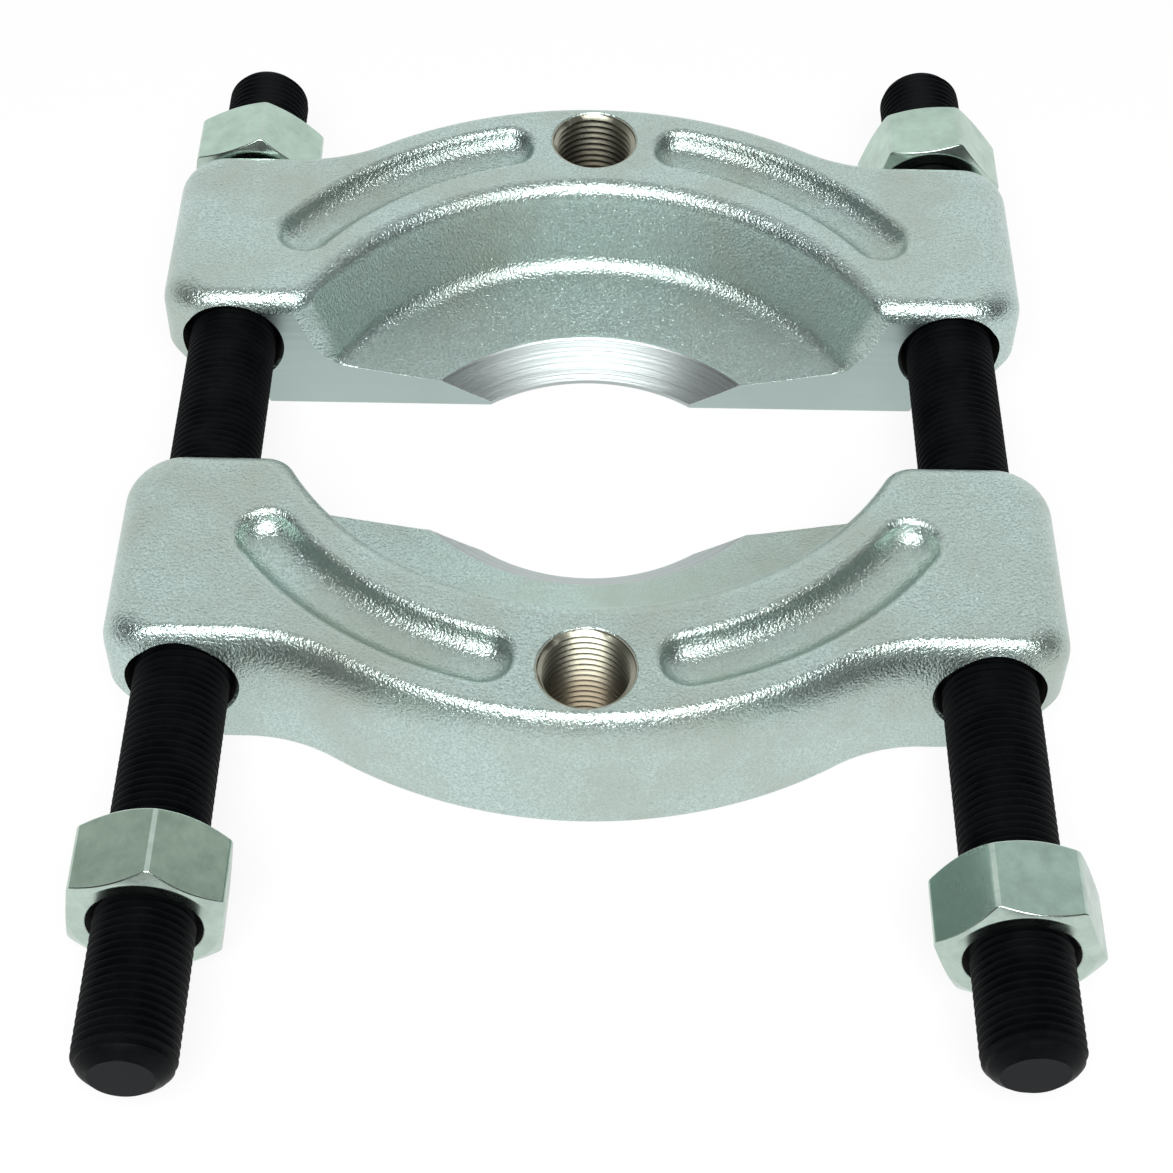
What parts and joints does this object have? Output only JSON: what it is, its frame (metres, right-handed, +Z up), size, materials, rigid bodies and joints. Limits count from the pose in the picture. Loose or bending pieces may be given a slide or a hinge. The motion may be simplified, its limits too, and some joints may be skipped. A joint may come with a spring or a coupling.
{
  "type": "bearing separator",
  "caption": "Bearing separator: facing forged halves with tapered knife edges, drawn together by threaded rods and hex nuts, with threaded puller holes.",
  "frame": {"origin": "On the floor under the middle of the tool: x = 0 half way between the rods, y = 0 half way along both rods together, z = 0 at the flat undersides of the halves.", "axes": "+Z up out of the open bowls, Y along the rods and along the closing travel with the front half on the -Y side, X across from rod to rod."},
  "size_m": [0.1595, 0.229, 0.0274],
  "materials": {
    "rear_half_steel": "shot-blasted forged steel, machined cone",
    "front_half_steel": "shot-blasted forged steel, machined cone",
    "left_rod_black": "black oxide on cut thread",
    "right_rod_black": "black oxide on cut thread",
    "rear_left_nut_zinc": "zinc plate",
    "rear_right_nut_zinc": "zinc plate",
    "front_left_nut_zinc": "zinc plate",
    "front_right_nut_zinc": "zinc plate"
  },
  "bodies": {
    "rear_half": {"rear_half": "rear_half_steel"},
    "front_half": {"front_half": "front_half_steel"},
    "left_rod": {"left_rod": "left_rod_black"},
    "right_rod": {"right_rod": "right_rod_black"},
    "rear_left_nut": {"rear_left_nut": "rear_left_nut_zinc"},
    "rear_right_nut": {"rear_right_nut": "rear_right_nut_zinc"},
    "front_left_nut": {"front_left_nut": "front_left_nut_zinc"},
    "front_right_nut": {"front_right_nut": "front_right_nut_zinc"}
  },
  "joints": [
    {"name": "front_half_slide", "type": "slide", "parent": "rear_half", "child": "front_half", "axis": [0, 1, 0], "range_m": [-0.0142, 0.0372]},
    {"name": "left_rod_turn", "type": "hinge", "parent": "rear_half", "child": "left_rod", "pos_m": [-0.06648, 0, 0.01384], "axis": [0, 1, 0], "range_deg": [-8160, 2900]},
    {"name": "right_rod_turn", "type": "hinge", "parent": "rear_half", "child": "right_rod", "pos_m": [0.06648, 0, 0.01384], "axis": [0, 1, 0], "range_deg": [-8950, 1400]},
    {"name": "rear_left_nut_travel", "type": "slide", "parent": "left_rod", "child": "rear_left_nut", "axis": [0, 1, 0], "range_m": [0, 0.0179]},
    {"name": "rear_right_nut_travel", "type": "slide", "parent": "right_rod", "child": "rear_right_nut", "axis": [0, 1, 0], "range_m": [-0.0026, 0.0183]},
    {"name": "front_left_nut_travel", "type": "slide", "parent": "front_half", "child": "front_left_nut", "axis": [0, 1, 0], "range_m": [-0.0115, 0.032]},
    {"name": "front_right_nut_travel", "type": "slide", "parent": "front_half", "child": "front_right_nut", "axis": [0, 1, 0], "range_m": [-0.0055, 0.0351]}
  ],
  "couplings": [
    {"joint": "front_left_nut_travel", "follows": "left_rod_turn", "m_per_rad": -0.00022459},
    {"joint": "front_right_nut_travel", "follows": "right_rod_turn", "m_per_rad": -0.00022459}
  ]
}
